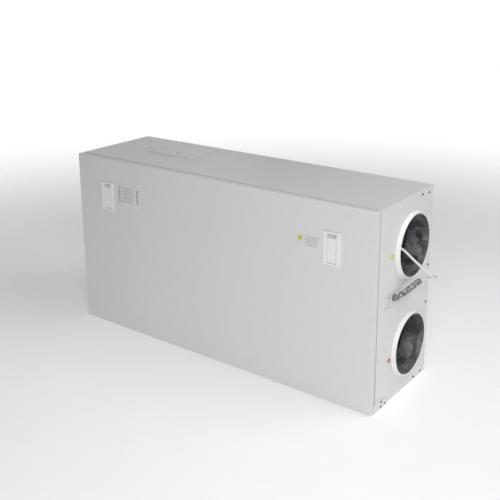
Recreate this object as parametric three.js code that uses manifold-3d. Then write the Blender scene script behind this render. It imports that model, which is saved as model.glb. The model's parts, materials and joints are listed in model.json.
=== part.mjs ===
// Heat recovery unit: a flat sheet-metal ventilation unit with four duct ports, a door that
// lets down in front, a counterflow exchanger block, two filters and two fans.
// Millimetres. +X is the end with the mains gland, -Y is the door, +Z is up.
// The origin is the middle of the base.

import * as THREE from 'three';
import { mergeVertices } from 'three/addons/utils/BufferGeometryUtils.js';
import Module from 'manifold-3d';

const wasm = await Module();
wasm.setup();

// ---------------------------------------------------------------- driving dimensions

// casing
const LENGTH = 1000; // over the two end panels
const HEIGHT = 520;
const DEPTH = 295; // door face to back panel
const SHEET = 1.5; // casing sheet
const INSULATION = 25; // lining thickness
const FLANGE = 23; // fold round the casing mouth
const FIT = 0.3; // gap between pieces that touch

// duct ports
const DUCT_RADIUS = 80; // outside of a 160 mm spigot
const SLEEVE_WALL = 1;
const SLEEVE_IN = 52; // sleeve length behind the end panel face
const COLLAR_OUT = 11; // collar length in front of the end panel face
const COLLAR_WALL = 3.2;
const COLLAR_FLARE = 3.5; // how much wider the collar's foot is than its lip
const PORT_FROM_BACK = 112; // port axis to back face
const LOW_PORT_Z = 124.5;
const PORT_SPACING = 266; // lower axis to upper axis

// door
const DOOR_RETURN = 16; // depth of the door tray
const DOOR_GAP = 6; // tray edge to casing mouth
const DOOR_SHEET = 1.2;
const DOOR_LIFT = 1.5; // door's lower edge over the base
const GASKET_WIDTH = 11;
const GASKET_INSET = 8;

// hinge along the door's lower edge
const PIN_RADIUS = 2.5;
const PIN_BACK = 17; // pin axis behind the door face
const PIN_Z = 5.5;
const PIN_LENGTH = 20;
const PIN_CLEARANCE = 0.4;
const BRACKET_LENGTH = 68;
const BRACKET_HEIGHT = 27;
const BRACKET_SHEET = 2;

// latches
const LATCH_X = 382; // each side of the middle
const LATCH_WIDTH = 48;
const LATCH_HEIGHT = 84;
const LATCH_TOP = 70; // latch top edge under the door's top
const LATCH_PROUD = 3;
const LATCH_DEPTH = 11; // cup behind the door face
const LATCH_RIM = 2; // overlap of the plate on the door
const PADDLE_WIDTH = 24;
const PADDLE_HEIGHT = 63;
const PADDLE_CLEARANCE = 1;
const FINGER_GAP = 10;
const BOLT_WIDTH = 12;
const BOLT_THICK = 2;
const BOLT_REACH = 17; // hook length behind the gasket plane
const BOLT_TRAVEL = 8;
const HOOK_DROP = 7.2; // hook's top under the lining
const KEEP_GAP = 2; // keep's lip over the hook

// inside
const DIVIDER = 12; // wall between upper and lower chambers
const CORE_TIP = 234; // exchanger tip to the middle
const CORE_FLAT = 100; // half the flat on top of the exchanger
const CORE_CLEAR = 38; // exchanger flat to the lining
const CORE_FRONT = 34; // exchanger end behind the door face
const PLATE_SHEET = 1.5;
const FILTER_FROM_CORE = 28; // filter frame to exchanger tip
const FILTER_THICK = 40;
const FILTER_WALL = 4;
const FILTER_PLEATS = 22;
const SLIDE_CLEARANCE = 2.5; // free space round a filter
const TRAY_HEIGHT = 22;
const TRAY_WALL = 1.5;
const SPOUT_RADIUS = 10;

// fans
const FAN_FROM_CORE = 54; // fan plate to exchanger tip
const IMPELLER_RADIUS = 92;
const IMPELLER_WIDTH = 54;
const IMPELLER_EYE = 60;
const BLADES = 7;
const BLADE_THICK = 2;
const ROTOR_RADIUS = 45;
const SHAFT_RADIUS = 6;
const RUN_CLEARANCE = 2; // impeller and rotor to fixed pieces

// heater
const HEATER_FROM_END = 62; // heater frame to the end lining
const HEATER_DEPTH = 26;
const ROD_RADIUS = 4;

// service cover on top
const COVER_LENGTH = 162;
const COVER_DEPTH = 155;
const COVER_FROM_LEFT = 150;
const COVER_FROM_BACK = 5;
const COVER_OVERLAP = 12;

// mains cord
const CORD_RADIUS = 3;
const CORD_SLEEVE_RADIUS = 7.6;
const COIL_RADIUS = 36;
const COIL_TURNS = 3.75;
const COIL_PITCH = 6.6;
const PLUG_RADIUS = 19;

const ROUND = 48; // sides of a port ring

// ---------------------------------------------------------------- derived places

const endFace = LENGTH / 2;
const back = (DEPTH + LATCH_PROUD) / 2;
const doorFace = back - DEPTH;
const mouth = doorFace + DOOR_RETURN + DOOR_GAP; // front plane of the casing
const endLining = endFace - SHEET - FIT - INSULATION; // inner face of an end lining
const backLining = back - SHEET - FIT - INSULATION;
const topLining = HEIGHT - SHEET - FIT - INSULATION;
const baseLining = SHEET + FIT + INSULATION;
const liningFront = mouth + SHEET + FIT;
const middleZ = HEIGHT / 2;
const portY = back - PORT_FROM_BACK;
const portZ = { low: LOW_PORT_Z, high: LOW_PORT_Z + PORT_SPACING };
const chamberFloor = middleZ + DIVIDER / 2; // floor of the upper chambers
const chamberCeiling = middleZ - DIVIDER / 2; // ceiling of the lower chambers
const chamberY = (liningFront + backLining) / 2;
const lowMiddleZ = (baseLining + chamberCeiling) / 2;
const latchTopZ = HEIGHT - LATCH_TOP;
const latchBaseZ = latchTopZ - LATCH_HEIGHT;
const paddleBaseZ = latchBaseZ + 5 + PADDLE_CLEARANCE;
const latchCupBack = doorFace + LATCH_DEPTH;

// ---------------------------------------------------------------- materials

const paint = { color: 0xe6e7e6, roughness: 0.45, metalness: 0 };
const galvanised = { color: 0x9aa0a3, roughness: 0.35, metalness: 0.9 };
const aluminium = { color: 0xc4c7c9, roughness: 0.3, metalness: 0.9 };
const lining = { color: 0x2f3133, roughness: 0.95, metalness: 0 };
const whitePlastic = { color: 0xf0f0ee, roughness: 0.4, metalness: 0 };
const blackPlastic = { color: 0x1c1d1f, roughness: 0.5, metalness: 0 };
const greyPlastic = { color: 0x7c7f83, roughness: 0.6, metalness: 0 };
const rubber = { color: 0x242424, roughness: 0.9, metalness: 0 };
const media = { color: 0xe9e8e2, roughness: 1, metalness: 0 };
const card = { color: 0xb9ad97, roughness: 0.9, metalness: 0 };
const webbing = { color: 0x3a4a66, roughness: 0.9, metalness: 0 };
const board = { color: 0x2c6b45, roughness: 0.6, metalness: 0 };

// ---------------------------------------------------------------- helpers

const group = new THREE.Group();

/** A closed geometry as a solid that can be cut; side -1 mirrors it to the left end. */
function solid(geometry, side = 1) {
  const plain = geometry.clone();
  plain.deleteAttribute('normal');
  plain.deleteAttribute('uv');
  const merged = mergeVertices(plain, 1e-4);
  merged.scale(side, 1, 1);
  const corners = [];
  for (let i = 0; i < merged.index.count; i += 3) {
    const a = merged.index.getX(i);
    const b = merged.index.getX(i + 1);
    const c = merged.index.getX(i + 2);
    if (a === b || b === c || c === a) continue;
    corners.push(...(side < 0 ? [a, c, b] : [a, b, c]));
  }
  const vertProperties = new Float32Array(merged.attributes.position.array);
  const triVerts = new Uint32Array(corners);
  return new wasm.Manifold(new wasm.Mesh({ numProp: 3, vertProperties, triVerts }));
}

/** Adds one named piece made of a solid, or of a geometry. */
function piece(name, shape, look, side = 1) {
  const made = shape.isBufferGeometry ? solid(shape, side) : shape;
  const { vertProperties, triVerts } = made.getMesh();
  const geometry = new THREE.BufferGeometry();
  geometry.setAttribute('position', new THREE.Float32BufferAttribute(vertProperties, 3));
  geometry.setIndex(Array.from(triVerts));
  geometry.computeVertexNormals();
  const mesh = new THREE.Mesh(geometry, new THREE.MeshStandardMaterial(look));
  mesh.name = name;
  group.add(mesh);
}

/** A box between two X, two Y and two Z planes. */
function box([x0, x1], [y0, y1], [z0, z1]) {
  const geometry = new THREE.BoxGeometry(x1 - x0, y1 - y0, z1 - z0);
  return geometry.translate((x0 + x1) / 2, (y0 + y1) / 2, (z0 + z1) / 2);
}

/** A round bar along X. */
function barX(radius, [x0, x1], y, z, sides = 24) {
  const geometry = new THREE.CylinderGeometry(radius, radius, x1 - x0, sides);
  return geometry.rotateZ(-Math.PI / 2).translate((x0 + x1) / 2, y, z);
}

/** A round bar along Z. */
function barZ(radius, x, y, [z0, z1], sides = 24) {
  const geometry = new THREE.CylinderGeometry(radius, radius, z1 - z0, sides);
  return geometry.rotateX(Math.PI / 2).translate(x, y, (z0 + z1) / 2);
}

/** A turned piece on an X axis through (y, z), from [x, radius] points, outside running to +X. */
function turnedX(points, y, z, sides = ROUND) {
  const profile = points.map(([x, radius]) => new THREE.Vector2(radius, x));
  const geometry = new THREE.LatheGeometry(profile, sides);
  return geometry.rotateZ(-Math.PI / 2).translate(0, y, z);
}

/** A ring along X with a rectangular section. */
function ringX(inner, outer, [x0, x1], y, z, sides = ROUND) {
  return turnedX([[x0, inner], [x0, outer], [x1, outer], [x1, inner], [x0, inner]], y, z, sides);
}

/** A straight prism along Y from an outline of [x, z] points. */
function prismY(outline, [y0, y1]) {
  const shape = new THREE.Shape(outline.map(([x, z]) => new THREE.Vector2(x, z)));
  const geometry = new THREE.ExtrudeGeometry(shape, { depth: y1 - y0, bevelEnabled: false });
  return geometry.rotateX(Math.PI / 2).translate(0, y1, 0);
}

/** A straight prism along X from an outline of [y, z] points. */
function prismX(outline, [x0, x1]) {
  const shape = new THREE.Shape(outline.map(([y, z]) => new THREE.Vector2(y, z)));
  const geometry = new THREE.ExtrudeGeometry(shape, { depth: x1 - x0, bevelEnabled: false });
  const turn = new THREE.Matrix4().set(0, 0, 1, 0, 1, 0, 0, 0, 0, 1, 0, 0, 0, 0, 0, 1);
  return geometry.applyMatrix4(turn).translate(x0, 0, 0);
}

/** A straight prism along Z from an outline of [x, y] points. */
function prismZ(outline, [z0, z1]) {
  const shape = new THREE.Shape(outline.map(([x, y]) => new THREE.Vector2(x, y)));
  const geometry = new THREE.ExtrudeGeometry(shape, { depth: z1 - z0, bevelEnabled: false });
  return geometry.translate(0, 0, z0);
}

/** A round tube or bar swept along a curve. */
function swept(curve, radius, steps, sides = 10, bore = 0) {
  const shape = new THREE.Shape().absarc(0, 0, radius, 0, 2 * Math.PI);
  if (bore > 0) shape.holes.push(new THREE.Path().absarc(0, 0, bore, 0, 2 * Math.PI));
  return new THREE.ExtrudeGeometry(shape, { steps, extrudePath: curve, curveSegments: sides });
}

// ---------------------------------------------------------------- casing

/** The hole that a port sleeve passes through, at both heights. */
function portHoles(x0, x1) {
  const radius = DUCT_RADIUS + FIT;
  const low = solid(barX(radius, [x0, x1], portY, portZ.low, ROUND));
  return low.add(solid(barX(radius, [x0, x1], portY, portZ.high, ROUND)));
}

function addPanels() {
  const inner = endFace - SHEET - FIT;
  const across = [-inner, inner];
  const behindMouth = [mouth, back - SHEET - FIT];
  const lip = [mouth, mouth + SHEET];
  const top = solid(box(across, behindMouth, [HEIGHT - SHEET, HEIGHT]));
  const topLip = solid(box(across, lip, [HEIGHT - SHEET - FLANGE, HEIGHT - SHEET / 2]));
  piece('top_panel', top.add(topLip).subtract(solid(box(...serviceHole(), [0, 2 * HEIGHT]))), paint);
  const base = solid(box(across, behindMouth, [0, SHEET]));
  const baseLip = solid(box(across, lip, [SHEET / 2, SHEET + FLANGE]));
  const spout = solid(barZ(SPOUT_RADIUS + FIT, spoutX(), chamberY, [-SHEET, 2 * SHEET]));
  piece('bottom_panel', base.add(baseLip).subtract(spout), paint);
  piece('back_panel', box(across, [back - SHEET, back], [0, HEIGHT]), paint);
}

/** An end panel: a sheet with a fold along its front edge, two port holes and, on the right, a gland hole. */
function addEndPanel(name, side) {
  const sheet = solid(box([endFace - SHEET, endFace], [mouth, back], [0, HEIGHT]));
  const foldZ = [SHEET + FLANGE + FIT, HEIGHT - SHEET - FLANGE - FIT];
  const foldX = [endFace - SHEET - FLANGE, endFace - SHEET / 2];
  const fold = solid(box(foldX, [mouth, mouth + SHEET], foldZ));
  let panel = sheet.add(fold).subtract(portHoles(endLining, endFace + SHEET));
  const glandHole = solid(barX(glandStem + FIT, [endLining, endFace + SHEET], ...glandAt));
  if (side > 0) panel = panel.subtract(glandHole);
  piece(name, geometryOf(panel), paint, side);
}

/** A solid back as a geometry, so that it can be mirrored. */
function geometryOf(made) {
  const { vertProperties, triVerts } = made.getMesh();
  const geometry = new THREE.BufferGeometry();
  geometry.setAttribute('position', new THREE.Float32BufferAttribute(vertProperties, 3));
  geometry.setIndex(Array.from(triVerts));
  return geometry;
}

function addLinings() {
  const inner = endFace - SHEET - FIT;
  const across = [-inner, inner];
  const deep = [liningFront, back - SHEET - FIT];
  const between = [baseLining + FIT, topLining - FIT];
  const pocket = solid(box(...serviceHole(), [topLining + SHEET + FIT, HEIGHT]));
  const top = solid(box(across, deep, [topLining, HEIGHT - SHEET - FIT])).subtract(pocket);
  const seal = solid(box([-CORE_FLAT, CORE_FLAT], [coreFront, coreBack], [coreTop + FIT, topLining + 1]));
  piece('top_lining', top.add(seal), lining);
  const bore = solid(barZ(SPOUT_RADIUS + FIT, spoutX(), chamberY, [0, baseLining + 1]));
  const base = solid(box(across, deep, [SHEET + FIT, baseLining])).subtract(bore);
  piece('bottom_lining', base, lining);
  piece('back_lining', box(across, [backLining, back - SHEET - FIT], between), lining);
  for (const [name, side] of [['right_lining', 1], ['left_lining', -1]]) {
    const block = solid(box([endLining, inner], [liningFront, backLining - FIT], between));
    let cut = block.subtract(portHoles(endLining - 1, endFace));
    if (side > 0) cut = cut.subtract(solid(barX(glandStem + FIT, [endLining - 1, endFace], ...glandAt)));
    const fold = [endFace - SHEET - FLANGE - FIT, endFace];
    cut = cut.subtract(solid(box(fold, [mouth, liningFront], [0, HEIGHT])));
    piece(name, geometryOf(cut), lining, side);
  }
}

function addPort(name, side, z) {
  const x0 = endFace + FIT;
  const x1 = endFace + COLLAR_OUT;
  const inner = DUCT_RADIUS + FIT;
  const outer = inner + COLLAR_WALL;
  const outline = [
    [x0, inner], [x0, outer + COLLAR_FLARE], [x0 + 1.5, outer + COLLAR_FLARE],
    [x0 + 3, outer + COLLAR_FLARE * 0.35], [x0 + 7, outer + COLLAR_FLARE * 0.08], [x1 - 1, outer],
    [x1, outer - 1], [x1, inner], [x0, inner],
  ];
  piece(`${name}_collar`, turnedX(outline, portY, z), whitePlastic, side);
  const bore = DUCT_RADIUS - SLEEVE_WALL;
  const sleeve = ringX(bore, DUCT_RADIUS, [endFace - SLEEVE_IN, x1 - 0.8], portY, z);
  piece(`${name}_sleeve`, sleeve, galvanised, side);
}

// ---------------------------------------------------------------- service cover

/** X and Y ranges of the hole in the top panel. */
function serviceHole() {
  const x0 = COVER_FROM_LEFT - endFace + COVER_OVERLAP;
  const y1 = back - COVER_FROM_BACK - COVER_OVERLAP;
  return [
    [x0, x0 + COVER_LENGTH - 2 * COVER_OVERLAP],
    [y1 - COVER_DEPTH + 2 * COVER_OVERLAP, y1],
  ];
}

function addServiceBox() {
  const [[x0, x1], [y0, y1]] = serviceHole();
  const over = COVER_OVERLAP;
  const coverZ = [HEIGHT + FIT, HEIGHT + FIT + SHEET];
  piece('service_cover', box([x0 - over, x1 + over], [y0 - over, y1 + over], coverZ), paint);
  const floor = topLining + SHEET + 2 * FIT;
  const gap = 2 * FIT;
  const tray = solid(box([x0 + gap, x1 - gap], [y0 + gap, y1 - gap], [floor, HEIGHT - FIT]));
  const wall = gap + SHEET;
  const inside = solid(box([x0 + wall, x1 - wall], [y0 + wall, y1 - wall], [floor + SHEET, HEIGHT + 1]));
  piece('control_box', tray.subtract(inside), galvanised);
  const edge = wall + 6;
  const boardZ = floor + SHEET + 4;
  const panel = solid(box([x0 + edge, x1 - edge], [y0 + edge, y1 - edge], [boardZ, boardZ + 1.6]));
  const partZ = [boardZ + 1, boardZ + 12];
  const terminals = solid(box([x0 + edge + 4, x1 - edge - 4], [y0 + edge + 3, y0 + edge + 15], partZ));
  const relay = solid(box([x0 + edge + 10, x0 + edge + 38], [y1 - edge - 40, y1 - edge - 12], partZ));
  piece('circuit_board', panel.add(terminals).add(relay), board);
}

// ---------------------------------------------------------------- exchanger and chambers

const coreTop = topLining - CORE_CLEAR;
const coreBase = baseLining + CORE_CLEAR;
const coreFront = doorFace + CORE_FRONT;
const coreBack = backLining - FIT;

/** The exchanger's six-sided outline, made smaller by inset. */
function coreOutline(inset) {
  const tip = CORE_TIP - inset;
  const flat = CORE_FLAT - inset / 2;
  const top = coreTop - inset;
  const base = coreBase + inset;
  return [[tip, middleZ], [flat, top], [-flat, top], [-tip, middleZ], [-flat, base], [flat, base]];
}

function addExchanger() {
  const plateBack = coreFront + PLATE_SHEET;
  piece('exchanger_core', prismY(coreOutline(1), [plateBack + FIT, coreBack]), aluminium);
  piece('exchanger_front_plate', prismY(coreOutline(0), [coreFront, plateBack]), galvanised);
  const strapX = 60;
  const strap = [[-strapX, 0], [-strapX, 2], [-strapX + 12, 2], [-strapX + 20, 7], [strapX - 20, 7],
    [strapX - 12, 2], [strapX, 2], [strapX, 0], [strapX - 13, 0], [strapX - 21, 5],
    [-strapX + 21, 5], [-strapX + 13, 0]];
  const bow = strap.map(([x, out]) => [x, coreFront - FIT - out]).reverse();
  piece('exchanger_strap', prismZ(bow, [middleZ - 12, middleZ + 12]), webbing);
}

function addDivider(name, side) {
  const span = [CORE_TIP + FIT, endLining - FIT];
  piece(name, box(span, [liningFront, backLining - FIT], [chamberCeiling, chamberFloor]), lining, side);
}

function spoutX() {
  return -(CORE_TIP + CORE_FLAT) / 2;
}

/** Condensate tray under the exchanger with two ribs that carry it and a drain spout through the base. */
function addTray() {
  const x = [spoutX() - 3 * SPOUT_RADIUS, CORE_FLAT];
  const y = [coreFront + 4, coreBack - 4];
  const z = baseLining + FIT;
  const w = TRAY_WALL;
  const outer = solid(box(x, y, [z, z + TRAY_HEIGHT]));
  const inner = solid(box([x[0] + w, x[1] - w], [y[0] + w, y[1] - w], [z + w, z + 2 * TRAY_HEIGHT]));
  const pipe = solid(barZ(SPOUT_RADIUS, spoutX(), chamberY, [SHEET / 2, z + w]));
  const bore = solid(barZ(SPOUT_RADIUS - w, spoutX(), chamberY, [-1, z + TRAY_HEIGHT]));
  let tray = outer.subtract(inner).add(pipe).subtract(bore);
  for (const share of [0.2, 0.8]) {
    const at = y[0] + share * (y[1] - y[0]);
    const rib = box([-CORE_FLAT + 12, CORE_FLAT - w / 2], [at - 4, at + 4], [z + w / 2, coreBase - FIT]);
    tray = tray.add(solid(rib));
  }
  piece('condensate_tray', tray, blackPlastic);
}

function addFilter(name, side) {
  const x0 = CORE_TIP + FILTER_FROM_CORE;
  const x1 = x0 + FILTER_THICK;
  const y = [doorFace + CORE_FRONT - 6, backLining - FIT - SLIDE_CLEARANCE];
  const z = [chamberFloor + FIT, topLining - SLIDE_CLEARANCE];
  const w = FILTER_WALL;
  const outer = solid(box([x0, x1], y, z));
  const hole = solid(box([x0 - 1, x1 + 1], [y[0] + w, y[1] - w], [z[0] + w, z[1] - w]));
  piece(`${name}_filter_frame`, geometryOf(outer.subtract(hole)), card, side);
  const y0 = y[0] + w + FIT;
  const pitch = (y[1] - w - FIT - y0) / FILTER_PLEATS;
  const thick = 3;
  const near = [];
  const far = [];
  for (let i = 0; i <= 2 * FILTER_PLEATS; i++) {
    const x = i % 2 ? x1 - 4 : x0 + 4 + thick;
    near.push([x - thick, y0 + (i * pitch) / 2]);
    far.unshift([x, y0 + (i * pitch) / 2]);
  }
  const span = [z[0] + w + FIT, z[1] - w - FIT];
  piece(`${name}_filter_media`, prismZ([...far, ...near].reverse(), span), media, side);
}

// ---------------------------------------------------------------- fans

const fanX = CORE_TIP + FAN_FROM_CORE;
const eyeX = fanX + SHEET + RUN_CLEARANCE; // front face of the impeller
const backDiscX = eyeX + IMPELLER_WIDTH - SHEET; // front face of the impeller's back disc

/** One backward-curved blade as an outline in a plane across the axis. */
function bladeOutline(turn) {
  const arc = (radius, lag) => [radius * Math.cos(turn - lag), radius * Math.sin(turn - lag)];
  const outer = [];
  const inner = [];
  const steps = 5;
  const root = IMPELLER_EYE + 6;
  for (let i = 0; i <= steps; i++) {
    const share = i / steps;
    const radius = root + share * (IMPELLER_RADIUS - 1 - root);
    const lag = 0.62 * share ** 1.3;
    outer.push(arc(radius, lag));
    inner.unshift(arc(radius, lag + BLADE_THICK / radius));
  }
  return [...outer, ...inner];
}

/** The impeller on an X axis through the origin, eye at eyeX. */
function impeller() {
  const disc = ringX(SHAFT_RADIUS + RUN_CLEARANCE, IMPELLER_RADIUS, [backDiscX, backDiscX + SHEET], 0, 0);
  const shroud = ringX(IMPELLER_EYE, IMPELLER_RADIUS, [eyeX, eyeX + SHEET], 0, 0);
  let made = solid(disc).add(solid(shroud));
  for (let i = 0; i < BLADES; i++) {
    const outline = bladeOutline((2 * Math.PI * i) / BLADES).reverse();
    made = made.add(solid(prismX(outline, [eyeX + SHEET / 2, backDiscX + SHEET / 2])));
  }
  return geometryOf(made);
}

function addFan(name, side) {
  const y = [liningFront + FIT, backLining - FIT];
  const z = [baseLining + FIT, chamberCeiling - FIT];
  const plate = solid(box([fanX, fanX + SHEET], y, z));
  const flanges = solid(box([fanX - 14, fanX + SHEET], y, z));
  const hollow = solid(box([fanX - 20, fanX], [y[0] + SHEET, y[1] - SHEET], [z[0] + SHEET, z[1] - SHEET]));
  const nozzleRadius = IMPELLER_EYE - RUN_CLEARANCE;
  const nozzle = turnedX([
    [fanX, nozzleRadius - SHEET], [fanX, nozzleRadius + 6], [fanX + SHEET, nozzleRadius],
    [eyeX + 5, nozzleRadius], [eyeX + 5, nozzleRadius - SHEET], [fanX, nozzleRadius - SHEET],
  ], chamberY, lowMiddleZ);
  const eyeRadius = nozzleRadius - SHEET / 2;
  const eye = solid(barX(eyeRadius, [fanX - 1, fanX + SHEET + 1], chamberY, lowMiddleZ, ROUND));
  const flanged = plate.add(flanges.subtract(hollow)).subtract(eye).add(solid(nozzle));
  piece(`${name}_fan_plate`, geometryOf(flanged), galvanised, side);

  const wheel = impeller();
  if (side < 0) wheel.rotateZ(Math.PI);
  piece(`${name}_impeller`, wheel.translate(0, chamberY, lowMiddleZ), blackPlastic);

  const canFront = backDiscX - FIT - 34;
  const shaftEnd = backDiscX + SHEET + RUN_CLEARANCE + 12;
  const rotor = turnedX([
    [canFront, 0], [canFront, ROTOR_RADIUS - 3], [canFront + 3, ROTOR_RADIUS],
    [backDiscX - FIT, ROTOR_RADIUS],
    [backDiscX - FIT, SHAFT_RADIUS], [shaftEnd, SHAFT_RADIUS], [shaftEnd, 0],
  ], chamberY, lowMiddleZ, 32);
  piece(`${name}_rotor`, rotor, galvanised, side);

  const statorX = backDiscX + SHEET + RUN_CLEARANCE;
  const stator = solid(barX(ROTOR_RADIUS, [statorX, statorX + 16], chamberY, lowMiddleZ, 32));
  const seat = solid(barX(SHAFT_RADIUS + 0.5, [statorX - 1, shaftEnd + 1], chamberY, lowMiddleZ, 24));
  const strip = solid(box([statorX + 15, statorX + 17], [chamberY - 20, chamberY + 20], z));
  const feet = [[z[0], z[0] + 2], [z[1] - 2, z[1]]].map((span) =>
    solid(box([statorX + 15, statorX + 32], [chamberY - 20, chamberY + 20], span)));
  const mount = stator.add(strip).add(feet[0]).add(feet[1]).subtract(seat);
  piece(`${name}_motor_mount`, geometryOf(mount), aluminium, side);
}

function addHeater() {
  const x1 = endLining - HEATER_FROM_END;
  const x = [x1 - HEATER_DEPTH, x1];
  const y = [liningFront + 6, backLining - 6];
  const z = [baseLining + FIT, chamberCeiling - 6];
  const outer = solid(box(x, y, z));
  const hole = solid(box([x[0] - 1, x[1] + 1], [y[0] + SHEET, y[1] - SHEET], [z[0] + SHEET, z[1] - SHEET]));
  piece('heater_frame', outer.subtract(hole), galvanised);
  const rows = 4;
  const reach = [y[0] + 40, y[1] - 40];
  const pitch = (z[1] - z[0] - 60) / (rows - 1);
  const points = [];
  for (let row = 0; row < rows; row++) {
    const level = z[0] + 30 + row * pitch;
    const run = row % 2 ? [reach[1], reach[0]] : reach;
    points.push([run[0], level], [(run[0] + run[1]) / 2, level], [run[1], level]);
    if (row < rows - 1) {
      const out = run[1] + (run[1] > run[0] ? 1 : -1) * 0.5 * pitch;
      points.push([out, level + pitch / 2]);
    }
  }
  const middleX = (x[0] + x[1]) / 2;
  const bends = points.map(([py, pz]) => new THREE.Vector3(middleX, py, pz));
  const route = new THREE.CatmullRomCurve3(bends, false, 'centripetal');
  piece('heater_rod', swept(route, ROD_RADIUS, 60, 4), galvanised);
}

// ---------------------------------------------------------------- door and hinge

const doorZ = [DOOR_LIFT, HEIGHT];
const pinY = doorFace + PIN_BACK;
const hookTopZ = topLining - HOOK_DROP;

/** Both latches' X positions with their names. */
const latches = [['right', LATCH_X], ['left', -LATCH_X]];

function addDoor() {
  const s = DOOR_SHEET;
  const outer = solid(box([-endFace, endFace], [doorFace, doorFace + DOOR_RETURN], doorZ));
  const inside = box([-endFace + s, endFace - s], [doorFace + s, doorFace + 2 * DOOR_RETURN],
    [doorZ[0] + s, doorZ[1] - s]);
  const ear = DOOR_RETURN + PIN_RADIUS + 2;
  let tray = outer.subtract(solid(inside));
  for (const side of [1, -1]) {
    const lug = prismX([
      [doorFace + DOOR_RETURN - 1, doorZ[0]], [pinY + 2.4, doorZ[0]], [pinY + 3.4, PIN_Z],
      [pinY + 2.4, PIN_Z + 4], [doorFace + DOOR_RETURN - 1, PIN_Z + ear],
    ], [endFace - s, endFace]);
    tray = tray.add(solid(lug, side));
    const pinHole = barX(PIN_RADIUS + PIN_CLEARANCE, [endFace - 5, endFace + 1], pinY, PIN_Z);
    tray = tray.subtract(solid(pinHole, side));
  }
  for (const [, x] of latches) tray = tray.subtract(latchHole(x, FIT));
  piece('door_skin', tray, paint);

  const padFront = doorFace + s + FIT;
  const padBack = doorFace + DOOR_RETURN - 0.5;
  const edge = s + FIT;
  const padZ = [doorZ[0] + edge, doorZ[1] - edge];
  let pad = solid(box([-endFace + edge, endFace - edge], [padFront, padBack], padZ));
  for (const side of [1, -1]) {
    const relief = box([endFace - PIN_LENGTH - 3, endFace], [pinY - 6, back], [0, PIN_Z + 6]);
    pad = pad.subtract(solid(relief, side));
  }
  for (const [, x] of latches) {
    pad = pad.subtract(latchHole(x, 1));
    const track = box([x - BOLT_WIDTH / 2 - 1, x + BOLT_WIDTH / 2 + 1], [latchCupBack, back],
      [latchBaseZ - BOLT_TRAVEL - 3, hookTopZ + 3]);
    pad = pad.subtract(solid(track));
  }
  piece('door_pad', pad, lining);

  const a = GASKET_INSET;
  const b = a + GASKET_WIDTH;
  const span = [padBack + FIT, mouth - FIT];
  const rim = solid(box([-endFace + a, endFace - a], span, [doorZ[0] + a + 3, doorZ[1] - a]));
  const gapZ = [doorZ[0] + b + 3, doorZ[1] - b];
  const gap = solid(box([-endFace + b, endFace - b], [span[0] - 1, span[1] + 1], gapZ));
  piece('door_gasket', rim.subtract(gap), rubber);
}

/** The rectangle that a latch cup needs, wider by gap all round. */
function latchHole(x, gap) {
  const half = LATCH_WIDTH / 2 - LATCH_RIM + gap;
  const z = [latchBaseZ + LATCH_RIM - gap, latchTopZ - LATCH_RIM + gap];
  return solid(box([x - half, x + half], [doorFace - 1, latchCupBack + gap], z));
}

function addHinge(name, side) {
  const x = [endFace + FIT, endFace + FIT + BRACKET_SHEET];
  const front = pinY - PIN_RADIUS - 4;
  const rear = front + BRACKET_LENGTH;
  const plate = solid(prismX([
    [front, 0.5], [rear, 0.5], [rear, BRACKET_HEIGHT * 0.55], [rear - 14, BRACKET_HEIGHT * 0.75],
    [front + 24, BRACKET_HEIGHT], [front + 14, BRACKET_HEIGHT], [front, PIN_Z + 8],
  ], x));
  const pin = solid(barX(PIN_RADIUS, [endFace - PIN_LENGTH, x[1] - 0.5], pinY, PIN_Z));
  piece(name, geometryOf(plate.add(pin)), galvanised, side);
}

// ---------------------------------------------------------------- latches

function addLatch(name, x) {
  const half = LATCH_WIDTH / 2;
  const cupHalf = half - LATCH_RIM;
  const plateFront = doorFace - LATCH_PROUD;
  const plate = solid(box([x - half, x + half], [plateFront, doorFace - FIT], [latchBaseZ, latchTopZ]));
  const cup = solid(box([x - cupHalf, x + cupHalf], [doorFace - 1, latchCupBack],
    [latchBaseZ + LATCH_RIM, latchTopZ - LATCH_RIM]));
  const wellHalf = PADDLE_WIDTH / 2 + PADDLE_CLEARANCE;
  const well = solid(box([x - wellHalf, x + wellHalf], [plateFront - 1, latchCupBack - 1.5],
    [paddleBaseZ - PADDLE_CLEARANCE, paddleBaseZ + PADDLE_HEIGHT + FINGER_GAP]));
  piece(`${name}_latch_housing`, plate.add(cup).subtract(well), whitePlastic);

  const face = plateFront + 0.2;
  const paddleTop = paddleBaseZ + PADDLE_HEIGHT;
  const section = [
    [face + 0.4, paddleBaseZ], [face + 3, paddleBaseZ], [face + 3, paddleTop - 6],
    [face + 6, paddleTop - 5], [face + 6, paddleTop - 2], [face + 3, paddleTop], [face, paddleTop - 1],
    [face, paddleBaseZ + 1],
  ];
  const span = [x - PADDLE_WIDTH / 2, x + PADDLE_WIDTH / 2];
  piece(`${name}_latch_paddle`, prismX(section, span), whitePlastic);

  const boltFront = latchCupBack + FIT;
  const boltBack = boltFront + BOLT_THICK;
  const boltTip = boltBack + BOLT_REACH;
  const bolt = [
    [boltFront, latchBaseZ], [boltBack, latchBaseZ], [boltBack, hookTopZ - 6], [boltTip, hookTopZ - 6],
    [boltTip, hookTopZ], [boltTip - 3, hookTopZ], [boltTip - 3, hookTopZ - 3], [boltFront, hookTopZ - 3],
  ];
  piece(`${name}_latch_bolt`, prismX(bolt, [x - BOLT_WIDTH / 2, x + BOLT_WIDTH / 2]), galvanised);

  const keepFront = liningFront + FIT;
  const keepTop = topLining - FIT;
  const keepLip = hookTopZ + KEEP_GAP;
  const keep = [
    [keepFront, keepLip], [keepFront + 1.5, keepLip], [keepFront + 1.5, keepTop - 1.5],
    [keepFront + 24, keepTop - 1.5], [keepFront + 24, keepTop], [keepFront, keepTop],
  ];
  piece(`${name}_latch_keep`, prismX(keep, [x - BOLT_WIDTH, x + BOLT_WIDTH]), galvanised);
}

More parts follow.
